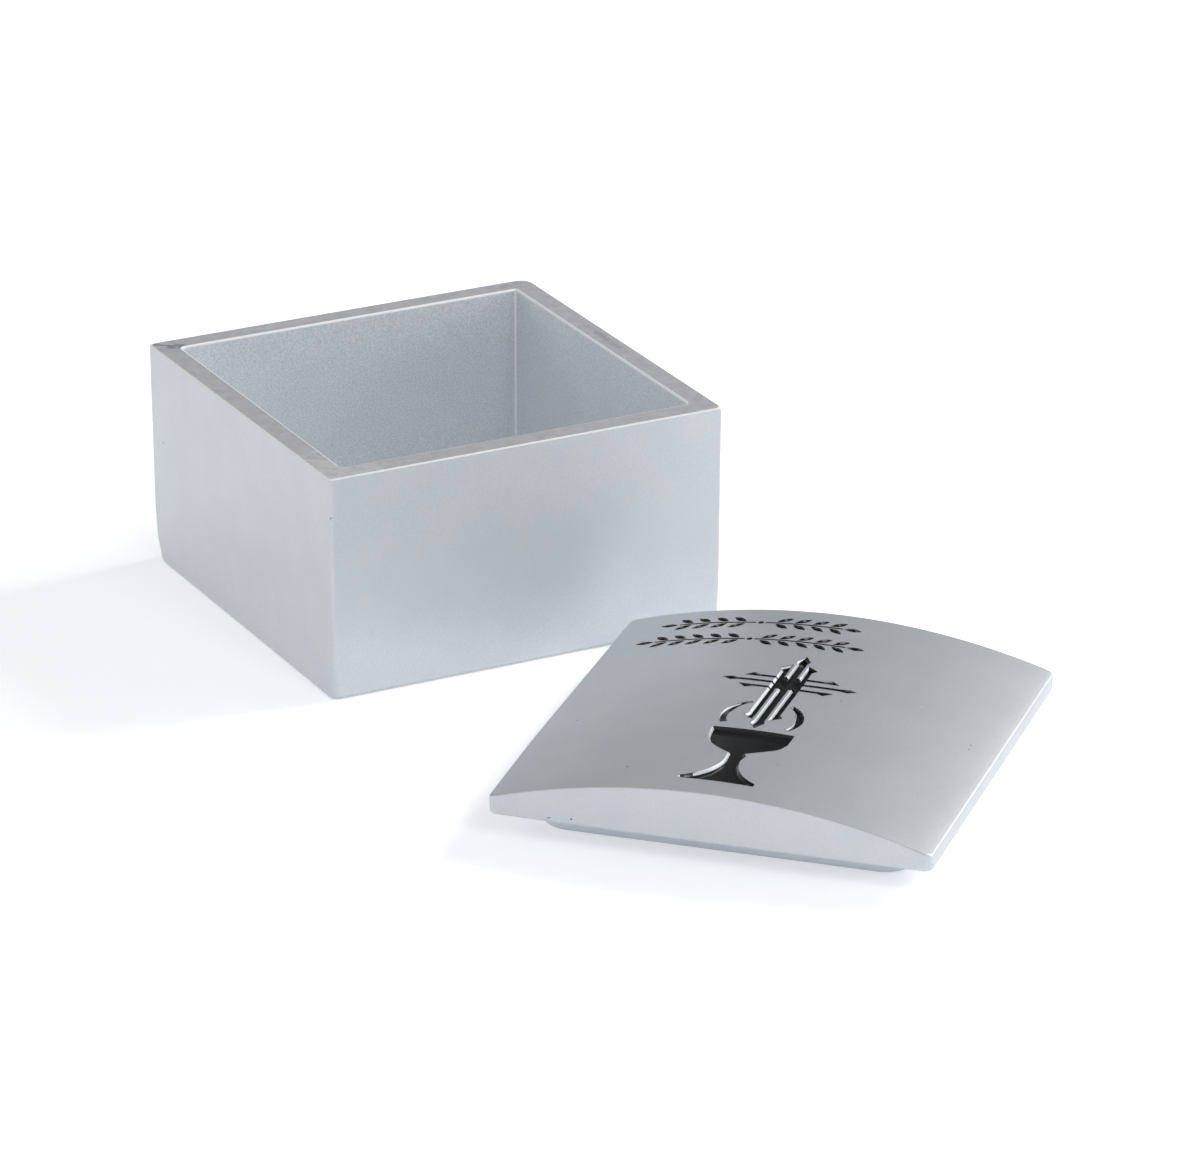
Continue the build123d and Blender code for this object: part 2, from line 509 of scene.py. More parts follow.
# %% [markdown]
# ## The box casting
#
# The box could be made as four walls and a floor, but the real one is a single casting, so it
# starts as one block with a little draft, which lets it leave the mould. The four upright corners
# are bevelled one by one, because on a hand-finished casting no two are alike, and each gets
# rounder towards the foot. To do that, the block is sliced at two heights, and there and at the
# foot the corner's vertices are scaled about the sharp corner. That turns their arc into a larger
# one that still meets both walls.

# %% The block
RINGS = (9.0, 4.0)  # heights below which the corners grow rounder
FOOT_EDGE = 1.2
# side in x, side in y, then the radius at the rim, at each ring, and at the foot
CORNERS = [
    (-1, -1, 0.5, 0.8, 1.1, 1.7),
    (1, -1, 0.45, 0.5, 0.7, 1.4),
    (-1, 1, 0.45, 0.5, 1.2, 3.4),
    (1, 1, 2.4, 2.5, 2.7, 3.2),
]


def half_side(height):
    """Half the box's width at this height, in millimetres."""
    return BOX_SIDE / 2 - (BOX_HEIGHT - height) * DRAFT


def foot_share(outward):
    """The left side's foot was rubbed flat, so its edge is sharper than the others."""
    return 1 - 0.6 * max(0.0, -outward.x) ** 2


bpy.ops.mesh.primitive_cube_add(
    size=1, location=mm(0, 0, BOX_HEIGHT / 2), scale=mm(BOX_SIDE, BOX_SIDE, BOX_HEIGHT)
)
box_casting = new_piece("box_casting")
SATIN, RIM, GRIT_LIGHTENED, BEAD_HIGHLIGHT, WORN_AND_HIGHLIT = range(5)  # the slots, in the order below
for finish in (satin_silver, bare_resin, gritty_silver_lightened, bead_highlight_paint, worn_edge_and_highlight):
    box_casting.data.materials.append(finish)
edit(box_casting)
pick(box_casting, "VERT", lambda v: v.co.z < MM)
draw_in = 2 * half_side(0) / BOX_SIDE
bpy.ops.transform.resize(value=(draw_in, draw_in, 1), center_override=(0, 0, 0))
for side_x, side_y, rim_radius, *_ in CORNERS:
    pick(box_casting, "EDGE", lambda e: at_corner(e, side_x, side_y, 34))
    bevel(rim_radius, 8)
for height in RINGS:
    slice_through(mm(0, 0, height), (0, 0, 1))
for side_x, side_y, rim_radius, *lower_radii in CORNERS:
    for height, radius in zip((*RINGS, 0), lower_radii):
        reach = (half_side(height) - rim_radius - 0.01) * MM
        pick(
            box_casting,
            "VERT",
            lambda v: abs(v.co.z - height * MM) < 1e-6 and min(v.co.x * side_x, v.co.y * side_y) > reach,
        )
        growth = radius / rim_radius
        corner = mm(side_x * half_side(height), side_y * half_side(height), height)
        bpy.ops.transform.resize(value=(growth, growth, 1), center_override=corner)
edit_done()
round_level(box_casting, lambda e: is_level(e, 0), FOOT_EDGE, 6, foot_share)
print("block:", len(box_casting.data.vertices), "vertices")

# %% [markdown]
# ### The cavity
#
# The cavity is a second, smaller block of the same kind, cut out of the first. Its far corner is
# nearly sharp, as the mould's core was, and holds a bead of paint whose near-white colour is a
# painted highlight; the others are softer. The floor meets the walls in a small fillet. The cut keeps
# the core's material slots, so the cavity comes out with its own finish, which is paler than the
# outside partly as painted light.

# %% The cavity
CORE_BOTTOM = BOX_SIDE - 2 * WALL - 2 * (BOX_HEIGHT - FLOOR) * DRAFT
CORE_ABOVE = 4.0  # how far the core stands out above the rim
CORE_TOP = BOX_SIDE - 2 * WALL + 2 * CORE_ABOVE * DRAFT
CAVITY_FLOOR_EDGE = 0.7
# side in x, side in y, radius and finish
# the far corner's bead finish is near white, a painted highlight
CORE_CORNERS = [(-1, -1, 1.4, GRIT_LIGHTENED), (1, -1, 1.2, GRIT_LIGHTENED), (-1, 1, 1.0, GRIT_LIGHTENED), (1, 1, 0.3, BEAD_HIGHLIGHT)]

core_height = BOX_HEIGHT + CORE_ABOVE - FLOOR
bpy.ops.mesh.primitive_cube_add(
    size=1, location=mm(0, 0, FLOOR + core_height / 2), scale=mm(CORE_TOP, CORE_TOP, core_height)
)
core = new_piece("core")
for finish in box_casting.data.materials:
    core.data.materials.append(finish)
# the cavity's gritty finish is paler partly as painted light
for face in core.data.polygons:
    face.material_index = GRIT_LIGHTENED
edit(core)
pick(core, "VERT", lambda v: v.co.z < (FLOOR + 1) * MM)
bpy.ops.transform.resize(
    value=(CORE_BOTTOM / CORE_TOP, CORE_BOTTOM / CORE_TOP, 1), center_override=(0, 0, 0)
)
for side_x, side_y, radius, finish in CORE_CORNERS:
    pick(core, "EDGE", lambda e: at_corner(e, side_x, side_y, 30))
    bevel(radius, 5, material=finish)
pick(core, "EDGE", lambda e: is_level(e, FLOOR))
bevel(CAVITY_FLOOR_EDGE, 4)
edit_done()
cut(box_casting, core)
print("hollow box:", len(box_casting.data.vertices), "vertices")

# %% [markdown]
# ### The rim's edges
#
# Sanding left the outer edge narrow and worn. Its near-white colour is partly that wear and partly a
# painted highlight, and on the back, which faces away from the light, it paints over the shade. It
# is a little softer along the back, and softest at the back left corner, so its width depends on the
# way that it faces. The inner edge is a smooth bead, because the paint ran over it and gathered
# there, and its thin bright line is a painted highlight: the bead's colour is near white.

# %% Rim edges
OUTER_EDGE, INNER_EDGE = 0.6, 0.36

for face in box_casting.data.polygons:
    is_rim = face.normal.z > 0.99 and face.center.z > (BOX_HEIGHT - 0.01) * MM
    is_underside = face.normal.z < -0.85 and face.center.z < MM
    if is_rim or is_underside:
        face.material_index = RIM


def on_rim(edge, least, most):
    """True for an edge of the rim whose middle is between least and most millimetres from the
    box's middle in X or Y."""
    reach = max(abs(middle(edge).x), abs(middle(edge).y)) / MM
    return is_level(edge, BOX_HEIGHT) and least < reach < most


def outer_share(outward):
    """The back's outer edge is a little softer than the others, and the back left corner the softest."""
    return 0.3 + 0.15 * max(0.0, outward.y) ** 2 + 0.6 * max(0.0, -2 * outward.x * outward.y)


# the outer edge's near-white finish is partly wear and partly a painted highlight
round_level(
    box_casting,
    lambda e: on_rim(e, BOX_SIDE / 2 - 1, BOX_SIDE / 2 + 1),
    OUTER_EDGE,
    4,
    outer_share,
    material=WORN_AND_HIGHLIT,
)
edit(box_casting)
pick(box_casting, "EDGE", lambda e: on_rim(e, 0, BOX_SIDE / 2 - WALL + 0.5))
# the inner edge's bead is near white: a painted highlight
bevel(INNER_EDGE, 4, material=BEAD_HIGHLIGHT)
edit_done()
print("box with rim edges:", len(box_casting.data.vertices), "vertices")

# %% [markdown]
# ### Pinholes, chips and nibs
#
# Small bubbles of air against the mould leave round pinholes, the foot's edge is chipped where it
# was set down, and dust in the wet paint leaves nibs. One ball is modelled and copied to each
# place, and all of a kind are cut or joined at once. The cut brings its own material along: a
# pinhole gets a dark brown colour, painted shade for its inside, and a nib the bead's near-white,
# a painted glint.


# %% Copies and specks
def copies(source, places):
    """One mesh with a copy of the source at each (x, y, z, turn, size), in millimetres and degrees."""
    name, made = source.name, []
    for x, y, z, turn, size in places:
        twin = source.copy()
        twin.data = source.data.copy()
        bpy.context.scene.collection.objects.link(twin)
        twin.location = mm(x, y, z)
        twin.rotation_euler.z = math.radians(turn)
        twin.scale = (size, size, size)
        only(twin)
        bpy.ops.object.transform_apply(location=True, rotation=True, scale=True)
        made.append(twin)
    bpy.ops.object.select_all(action="DESELECT")
    for twin in made:
        twin.select_set(True)
    bpy.ops.object.join()
    bpy.data.objects.remove(source, do_unlink=True)
    return new_piece(name + "_copies")


def specks(piece, finish, places, operation="DIFFERENCE"):
    """Cuts round pinholes or chips, or adds round nibs, each (x, y, z, radius) in millimetres."""
    bpy.ops.mesh.primitive_ico_sphere_add(subdivisions=2, radius=MM)
    bubble = new_piece("bubble")
    bubble.data.materials.append(finish)
    bubbles = copies(bubble, [(x, y, z, 0, radius) for x, y, z, radius in places])
    cut(piece, bubbles, operation, material_mode="TRANSFER")


# x, y, z and radius
BOX_HOLES = [(-34.95, 30.3, 22.0, 0.14), (-34.85, -34.85, 31.4, 0.16)]
CHIPS = [(-25.6, -34.3, 0.75, 0.3), (-23.4, -34.3, 0.7, 0.3), (12.9, -31.0, 37.95, 0.3)]
BOX_NIBS = [(-16.1, -34.93, 9.0, 0.12), (-15.6, -34.9, 14.2, 0.08)]

# the pinholes' dark brown is painted shade
specks(box_casting, pinhole_shade, BOX_HOLES)
specks(box_casting, worn_edge_and_highlight, CHIPS)
# the nibs are near white: a painted glint
specks(box_casting, bead_highlight_paint, BOX_NIBS, "UNION")
smooth(box_casting)
print("box casting:", len(box_casting.data.polygons), "faces")

# %% [markdown]
# ## The lid casting
#
# The lid's top is a shallow arch. Cutting clean pockets into a curved face is fiddly, so the lid is
# made flat first: a plain slab, with its edges rounded and the pockets cut straight down. Then slab
# and pockets are sliced into narrow strips across the arch, and every vertex of the top is lowered
# by the arch's fall at its place. The pockets' floors follow the arch as the mould's did.

# %% The flat slab and its plug
UNDERSIDE = PLUG_HEIGHT - 0.15  # the paint makes the slab a little thicker than the bare casting
LID_CORNER, LID_LOWER_EDGE, LID_TOP_EDGE = 1.3, 0.5, 0.22
TOP_CORNER_SHARE = 0.78  # how much of that radius is left at the top of a corner
PLUG_CORNER, PLUG_EDGE = 5.0, 1.2
# the near left corner shrank in a little as the resin cured, from this y on
SHRUNK_FROM, SHRUNK_BY = -14, (0.6, 0.1, 0)

bpy.ops.mesh.primitive_cube_add(
    size=1,
    location=mm(0, 0, (UNDERSIDE + LID_CROWN) / 2),
    scale=mm(LID_WIDTH, LID_LENGTH, LID_CROWN - UNDERSIDE),
)
lid_casting = new_piece("lid_casting")
edit(lid_casting)
pick(lid_casting, "EDGE", lambda e: is_upright(e, 5))
bevel(LID_CORNER, 6)
for side_x in (-1, 1):
    for side_y in (-1, 1):
        pick(
            lid_casting,
            "VERT",
            lambda v: v.co.z > (LID_CROWN - 1) * MM and v.co.x * side_x > 0 and v.co.y * side_y > 0,
        )
        corner = mm(side_x * LID_WIDTH / 2, side_y * LID_LENGTH / 2, LID_CROWN)
        bpy.ops.transform.resize(
            value=(TOP_CORNER_SHARE, TOP_CORNER_SHARE, 1), center_override=corner
        )
pick(lid_casting, "EDGE", lambda e: is_level(e, UNDERSIDE))
bevel(LID_LOWER_EDGE, 4)
pick(lid_casting, "EDGE", lambda e: is_level(e, LID_CROWN))
bevel(LID_TOP_EDGE, 3)
slice_through(mm(0, SHRUNK_FROM, 0), (0, 1, 0))
pick(lid_casting, "VERT", lambda v: v.co.x < -0.033 and v.co.y < -0.034)
bpy.ops.transform.translate(value=mm(*SHRUNK_BY))
edit_done()

bpy.ops.mesh.primitive_cube_add(
    size=1, location=mm(0, 0, (PLUG_HEIGHT + 1) / 2), scale=mm(PLUG_SIDE, PLUG_SIDE, PLUG_HEIGHT + 1)
)
plug = new_piece("plug")
edit(plug)
pick(plug, "EDGE", lambda e: is_upright(e, 3))
bevel(PLUG_CORNER, 8)
pick(plug, "EDGE", lambda e: is_level(e, 0))
bevel(PLUG_EDGE, 5)
edit_done()
cut(lid_casting, plug, "UNION")
lid_casting.data.materials.append(satin_silver)
print("slab and plug:", len(lid_casting.data.vertices), "vertices")

# %% [markdown]
# ### Specks on the lid
#
# The lid has pinholes and a nib of its own. They are made while it is flat, because the strips that
# it is sliced into later would make this cut fragile.

# %% Specks on the lid
# x, y and radius
TOP_HOLES = [
    (-29.5, -8.1, 0.12),
    (-14.8, -28.7, 0.16),
    (30.6, 2.05, 0.12),
    (30.75, 0.35, 0.12),
    (9.35, 4.1, 0.13),
    (7.1, -22.7, 0.1),
]
FRONT_HOLE, TOP_NIB = (-21.1, -36.75, 5.77, 0.17), (20.8, 9.15, LID_CROWN, 0.1)

holes = [(x, y, LID_CROWN + 0.02, radius) for x, y, radius in TOP_HOLES]
# the pinholes' dark brown is painted shade
specks(lid_casting, pinhole_shade, [FRONT_HOLE, *holes])
# the nib is near white: a painted glint
specks(lid_casting, bead_highlight_paint, [TOP_NIB], "UNION")
print("flat lid:", len(lid_casting.data.vertices), "vertices")

# %% [markdown]
# ### How a pocket is cut
#
# Each motif starts as a flat outline just above the lid: a disc with as many corners as the outline
# has points, whose corners are moved to their places. It is pulled straight down to the lid's top,
# and then inset and lowered in steps: a small shoulder, a steep wall, and a rounded foot where the
# enamel pools. That solid cuts the pocket. A copy of its lower surface, thickened inwards a little,
# is the enamel, so the two fit without a gap. The wet enamel was wiped across the lid towards its
# left, which left the upper part of the walls that face right bare: they show as bright silver
# edges.

# %% Pocket cutters
ABOVE = 1.0  # how far a cutter starts above the lid


def pocket_cutter(name, outline, steps, above=ABOVE):
    """A cutter from an outline in millimetres, and steps of (inset, drop) from the lid's top down."""
    bpy.ops.mesh.primitive_circle_add(
        vertices=len(outline), radius=MM, fill_type="NGON", location=mm(0, 0, LID_CROWN + above)
    )
    cutter = new_piece(name)
    edit(cutter)
    mesh = bmesh.from_edit_mesh(cutter.data)
    mesh.faces.ensure_lookup_table()
    for vertex, (x, y) in zip(mesh.faces[0].verts, outline):
        vertex.co.x, vertex.co.y = mm(x, y)
    mesh.faces[0].normal_update()
    if mesh.faces[0].normal.z > 0:
        mesh.faces[0].normal_flip()
    mesh.faces[0].select_set(True)
    bmesh.update_edit_mesh(cutter.data)
    bpy.ops.mesh.extrude_region_move(TRANSFORM_OT_translate={"value": (0, 0, -above * MM)})
    for inset, drop in steps:
        bpy.ops.mesh.inset(thickness=inset * MM, depth=drop * MM)
    bpy.ops.mesh.select_all(action="SELECT")
    bpy.ops.mesh.normals_make_consistent(inside=False)
    edit_done()
    return cutter


BARE_TO = 0.26  # how deep the walls that face right were wiped bare
ENAMEL_THICKNESS = 0.05


def enamel_from(cutter, name, wiped=0.0, reach=LID_WIDTH / 2):
    """The enamel in a pocket: the cutter's surface below the lid's top, thickened into the pocket.
    Walls that face right by more than wiped, this near to the lid's middle, are bare above BARE_TO."""

    def is_bare(face):
        place = face.calc_center_median()
        rubbed = 0 < wiped < -face.normal.x and abs(place.x) < reach * MM
        top = max(vertex.co.z for vertex in face.verts)
        return top > (LID_CROWN + 0.002) * MM or (rubbed and place.z > (LID_CROWN - BARE_TO) * MM)

    only(cutter)
    bpy.ops.object.duplicate()
    fill = new_piece(name)
    edit(fill)
    pick(fill, "FACE", is_bare)
    bpy.ops.mesh.delete(type="FACE")
    edit_done()
    modify(fill, "SOLIDIFY", thickness=ENAMEL_THICKNESS * MM, offset=-1, use_even_offset=True)
    return fill


# %% [markdown]
# ### The cross
#
# Three narrow grooves run up and three run across, each with a pointed head at both ends, and a
# square patch joins them where they cross. The heads of the outer grooves are halved: they spread
# only on the outer side. Each groove is its own cutter, and joining the cutters gives the crossing
# that carving them one by one would. The level grooves are narrower and bend a little upwards
# towards their ends.


# %% Cross cutters
BEND = 2.5  # a groove's sides have a point this far from its middle, so that they can bend there


def groove_outline(low_end, high_end, width, point, left_spread, right_spread, neck):
    """An upright groove about x = 0, in millimetres. A side without spread stays straight and
    holds the tip."""
    half = width / 2
    tip = 0.0
    if left_spread == 0:
        tip = -half
    if right_spread == 0:
        tip = half
    wide_low, wide_high = low_end + point, high_end - point
    outline = [
        (tip, high_end),
        (half + right_spread, wide_high),
        (half, wide_high - neck),
        (half, BEND),
        (half, -BEND),
        (half, wide_low + neck),
        (half + right_spread, wide_low),
        (tip, low_end),
        (-half - left_spread, wide_low),
        (-half, wide_low + neck),
        (-half, -BEND),
        (-half, BEND),
        (-half, wide_high - neck),
        (-half - left_spread, wide_high),
    ]
    # on a straight side the head's two widest points lie on the side itself, so they are left out
    drop = {1, 6} if right_spread == 0 else {8, 13} if left_spread == 0 else set()
    return [corner for index, corner in enumerate(outline) if index not in drop]


CROSS_X, CROSS_Y = -0.2, 7.2
UPRIGHT_PITCH, LEVEL_PITCH = 1.86, 2.05
LEVEL_RISE = 0.007  # a level groove rises by this times the square of the way from its middle
# low end, high end, width and length of the point, of the middle groove and of the outer ones
UPRIGHTS = {"middle": (-18.2, 11.05, 1.64, 2.0), "outer": (-14.9, 7.6, 1.28, 1.6)}
LEVELS = {"middle": (-10.9, 10.7, 0.7, 1.3), "outer": (-7.7, 7.5, 0.62, 1.3)}
UPRIGHT_NECK, LEVEL_NECK = 0.9, 1.2  # from a head's neck to its widest point
PATCH_HALF_X, PATCH_HALF_Y = 2.1, 2.0
# a groove's place among the three, and how far its heads spread to the left and right
GROOVES = [(-1, (0.6, 0)), (0, (0.3, 0.3)), (1, (0, 0.6))]
GROOVE_STEPS = [(0.03, 0.02), (0.26, 0.34), (0.03, 0.22), (0.04, 0.08), (0.08, 0.04)]
NARROW_STEPS = [(0.03, 0.02), (0.08, 0.14), (0.03, 0.34), (0.04, 0.08), (0.05, 0.03)]

cutters = []
for index, spreads in GROOVES:
    which = "outer" if index else "middle"
    # every cutter starts at a height of its own, so that no two tops share a plane
    upright = groove_outline(*UPRIGHTS[which], *spreads, UPRIGHT_NECK)
    shifted = [(x + CROSS_X + index * UPRIGHT_PITCH, y + CROSS_Y) for x, y in upright]
    cutters.append(pocket_cutter("upright_groove", shifted, GROOVE_STEPS, ABOVE + 0.01 * index))
    level = groove_outline(*LEVELS[which], *spreads, LEVEL_NECK)
    turned = [(-y + CROSS_X, x + CROSS_Y + index * LEVEL_PITCH + LEVEL_RISE * y * y) for x, y in level]
    cutters.append(pocket_cutter("level_groove", turned, NARROW_STEPS, ABOVE + 0.05 + 0.01 * index))
patch = [
    (CROSS_X + side_x * PATCH_HALF_X, CROSS_Y + side_y * PATCH_HALF_Y)
    for side_x, side_y in ((-1, -1), (1, -1), (1, 1), (-1, 1))
]
patch_steps = GROOVE_STEPS[:3] + [(0.06, 0.05), (0.1, 0.03)]
cross_cutter = pocket_cutter("cross_cutter", patch, patch_steps, ABOVE + 0.1)
for groove in cutters:
    cut(cross_cutter, groove, "UNION")
cross_enamel = enamel_from(cross_cutter, "cross_fill", wiped=0.5, reach=3.4)
cut(lid_casting, cross_cutter)
print("lid with cross:", len(lid_casting.data.vertices), "vertices")

# %% [markdown]
# ### The host and the chalice
#
# The host is two tapering arcs behind the foot of the cross. The chalice is drawn half by half,
# from arcs that run smoothly into each other, with a slimmer belly, knop and stem on the left. An
# arc that leaves a point in a known direction and ends at another point has only one possible
# centre, so a small function works its points out.


# %% Host and chalice outlines
def arc_points(start, direction, end, count):
    """The points after start on the arc that leaves it in this direction and ends at end, and the
    arc's last direction."""
    start, direction, end = Vector(start), Vector(direction).normalized(), Vector(end)
    chord = end - start
    side = Vector((-direction.y, direction.x))
    radius = chord.length_squared / (2 * chord.dot(side))
    centre = start + side * radius
    sweep = 2 * math.atan2(chord.dot(side), chord.dot(direction))
    points = []
    for step in range(1, count + 1):
        turned = (start - centre).copy()
        turned.rotate(Matrix.Rotation(sweep * step / count, 2))
        points.append(tuple(centre + turned))
    direction.rotate(Matrix.Rotation(sweep, 2))
    return points, direction


HOST_X, HOST_Y, HOST_RADIUS = -0.28, -6.6, 6.55
ARC_STEPS = 22


def host_arc(side, top_angle, bottom_angle, strokes):
    """One arc of the host. Its stroke goes smoothly through three widths: at the top, half way and
    at the end."""
    outer, inner = [], []
    for step in range(ARC_STEPS + 1):
        share = step / ARC_STEPS
        angle = math.radians(top_angle + (bottom_angle - top_angle) * share)
        start, end, along = (*strokes[:2], 2 * share) if share < 0.5 else (*strokes[1:], 2 * share - 1)
        stroke = start + (end - start) * along * along * (3 - 2 * along)
        for points, radius in ((outer, HOST_RADIUS), (inner, HOST_RADIUS - stroke)):
            points.append((HOST_X + side * radius * math.cos(angle), HOST_Y + radius * math.sin(angle)))
    return outer + inner[::-1]


right_arc = host_arc(1, 57, -36, (0.8, 1.45, 0.8))
left_arc = host_arc(-1, 61, -30, (0.62, 1.25, 1.15))

CHALICE_FOOT, CHALICE_RIM = -31.8, -11.7
# heights above the foot
BELLY_UP, SHOULDER_UP, NECK_UP, KNOP_UP, STEM_UP, BASE_UP = 16.6, 13.4, 10.95, 10.2, 8.6, 0.9
RIM_HALF, NECK_HALF, FOOT_HALF = 6.5, 1.3, 5.9
SHOULDER_IN = 1.7  # how much narrower the bowl is at its shoulder than at its belly


def chalice_half(belly, knop, stem):
    """Half of the chalice's outline, from the middle of its rim to the middle of its foot. The half
    widths of belly, knop and stem differ between the sides, as they were carved by hand."""
    points, heading = [(0.0, CHALICE_RIM), (RIM_HALF, CHALICE_RIM)], (0, -1)
    # each arc's end and number of points
    bowl = [(belly, BELLY_UP, 3), (belly - SHOULDER_IN, SHOULDER_UP, 8), (NECK_HALF, NECK_UP, 4)]
    for x, height, count in bowl:
        run, heading = arc_points(points[-1], heading, (x, CHALICE_FOOT + height), count)
        points += run
    points += [(knop, CHALICE_FOOT + KNOP_UP), (stem, CHALICE_FOOT + STEM_UP)]
    flare, _ = arc_points(points[-1], (0, -1), (FOOT_HALF, CHALICE_FOOT + BASE_UP), 14)
    return points + flare + [(FOOT_HALF, CHALICE_FOOT), (0.0, CHALICE_FOOT)]


left_half = chalice_half(belly=6.15, knop=1.25, stem=1.1)
chalice_outline = chalice_half(belly=6.45, knop=1.8, stem=1.45)
chalice_outline += [(-x, y) for x, y in reversed(left_half) if x > 0]
print("host outline", len(right_arc), "points, chalice outline", len(chalice_outline), "points")

# %% [markdown]
# ### Cutting both
#
# The two arcs are joined before they cut, so they are one piece of enamel. The chalice's walls
# slope over twice the width of the arcs', which makes its bright edge broader.

# %% Cutting the host and the chalice
HOST_STEPS = [(0.03, 0.02), (0.14, 0.22), (0.02, 0.18), (0.03, 0.06), (0.03, 0.03)]
CHALICE_STEPS = [(0.03, 0.03), (0.28, 0.4), (0.04, 0.18), (0.04, 0.05), (0.04, 0.02)]

host_cutter = pocket_cutter("host_cutter", right_arc, HOST_STEPS)
left_host = pocket_cutter("left_host", left_arc, HOST_STEPS)
only(host_cutter)
left_host.select_set(True)
bpy.ops.object.join()
host_enamel = enamel_from(host_cutter, "host_fill", wiped=0.6)
cut(lid_casting, host_cutter)
chalice_cutter = pocket_cutter("chalice_cutter", chalice_outline, CHALICE_STEPS)
chalice_enamel = enamel_from(chalice_cutter, "chalice_fill", wiped=0.5)
cut(lid_casting, chalice_cutter)
print("lid with emblem:", len(lid_casting.data.vertices), "vertices")

# %% [markdown]
# ### Two rows of leaves
#
# Near the lid's far edge lie two rows of small laurel leaves, a common border on keepsakes. Each
# row grows both ways from a berry in its middle, in pairs of leaves along a thin stem. One leaf is
# modelled and then copied, because all the leaves of such a border come from the same small tool.


# %% One leaf, copied along each row
LEAF_LENGTH, LEAF_WIDTH, LEAF_ANGLE, LEAF_PITCH = 2.9, 1.15, 35, 2.95
LEAF_BACK, LEAF_ASIDE = 0.35, 0.45  # a leaf's start: a share of its length back, millimetres aside
BERRY_ROOM, PAIR_GAP = 1.0, 1.3  # left free by the berry, and by the leaf at the row's end
STEM_FROM, STEM_SHORT = 0.8, 0.2  # where a stem starts, and how far it stops before the end leaf
LEAF_STEPS = [(0.03, 0.02), (0.12, 0.20), (0.03, 0.22), (0.07, 0.05)]
BERRY_RADIUS, STEM_HALF = 0.5, 0.16
ROWS = [(-28.2, 5.0, 31.0), (-30.2, 7.4, 24.0)]  # left end, right end and height on the lid
leaf_outline = []
for share in (0, 0.2, 0.4, 0.6, 0.8, 1):
    leaf_outline.append((LEAF_LENGTH * share, LEAF_WIDTH / 2 * math.sin(math.pi * share) ** 0.8))
leaf_outline += [(x, -y) for x, y in reversed(leaf_outline[1:-1])]
berry_angles = [math.radians(45 * index) for index in range(8)]
berry_outline = [(BERRY_RADIUS * math.cos(a), BERRY_RADIUS * math.sin(a)) for a in berry_angles]

leaf_places, berry_places, stems = [], [], []
for left, right, row_y in ROWS:
    centre = (left + right) / 2
    berry_places.append((centre, row_y, 0, 0, 1))
    for way, turn in ((1, 0), (-1, 180)):
        leaf_places.append(((right - LEAF_LENGTH) if way > 0 else (left + LEAF_LENGTH), row_y, 0, turn, 1))
        pairs = int((right - centre - LEAF_LENGTH - BERRY_ROOM) / LEAF_PITCH)
        for index in range(pairs):
            x = centre + way * (right - centre - LEAF_LENGTH - PAIR_GAP - LEAF_PITCH * index)
            for side in (-1, 1):
                angle = side * LEAF_ANGLE if way > 0 else 180 - side * LEAF_ANGLE
                leaf_x = x - way * LEAF_LENGTH * LEAF_BACK
                leaf_places.append((leaf_x, row_y + side * LEAF_ASIDE, 0, angle, 1))
        stem_end = right - centre - LEAF_LENGTH - STEM_SHORT
        ends = sorted((centre + way * STEM_FROM, centre + way * stem_end))
        low_y, high_y = row_y - STEM_HALF, row_y + STEM_HALF
        stems.append([(ends[0], low_y), (ends[1], low_y), (ends[1], high_y), (ends[0], high_y)])

# %% [markdown]
# ### Cutting the leaves
#
# Leaves, berries and stems overlap where they meet, so they are joined as one cutter, and the
# Boolean is told to mend its own crossings.

# %% Cutting the leaves
leaves = copies(pocket_cutter("leaf", leaf_outline, LEAF_STEPS), leaf_places)
berries = copies(pocket_cutter("berry", berry_outline, LEAF_STEPS[:3]), berry_places)
stem_cutters = [pocket_cutter("stem", outline, [(0.02, 0.02), (0.06, 0.18)]) for outline in stems]
only(leaves)
for cutter in [berries, *stem_cutters]:
    cutter.select_set(True)
bpy.ops.object.join()
leaf_enamel = enamel_from(leaves, "leaf_fill")
cut(lid_casting, leaves, use_self=True)
print("lid with leaves:", len(lid_casting.data.vertices), "vertices,", len(leaf_places), "leaves")

# %% [markdown]
# ### Bowing the lid
#
# Now the slab and the enamel are sliced across the arch and lowered to it. The slices are narrow
# enough that the arch looks smooth, and every piece is sliced at the same places, so enamel and
# pocket stay together. The faces are made triangles first, because slicing a face that has holes in
# it can close a hole. Where grooves meet, the cuts leave slivers that are too thin for a clean
# mesh, so vertices that all but touch are merged at the end.


# %% The arch
STRIPS = 70
MERGE = 0.002  # millimetres: slivers narrower than this are closed up
RUBBED_FROM, RUBBED = 32.5, 0.012


def arch_fall(x):
    """How far the arch lies below its crown at x, in millimetres. Its right edge was rubbed down a
    little, and rolls off."""
    rubbed_off = RUBBED * max(0.0, x - RUBBED_FROM) ** 2
    return ARCH_RADIUS - math.sqrt(ARCH_RADIUS**2 - x * x) + rubbed_off


def bow(piece):
    """Slices a flat lid piece into strips and lowers its upper part by the arch's fall."""
    edit(piece)
    bpy.ops.mesh.select_all(action="SELECT")
    bpy.ops.mesh.quads_convert_to_tris()
    for index in range(1, STRIPS):
        slice_through(((index / STRIPS - 0.5) * LID_WIDTH * MM, 0, 0), (1, 0, 0))
    bpy.ops.mesh.select_all(action="SELECT")
    bpy.ops.mesh.remove_doubles(threshold=MERGE * MM)
    mesh = bmesh.from_edit_mesh(piece.data)
    for vertex in mesh.verts:
        if vertex.co.z > (PLUG_HEIGHT + 3) * MM:
            vertex.co.z -= arch_fall(vertex.co.x / MM) * MM
    bmesh.update_edit_mesh(piece.data)
    edit_done()


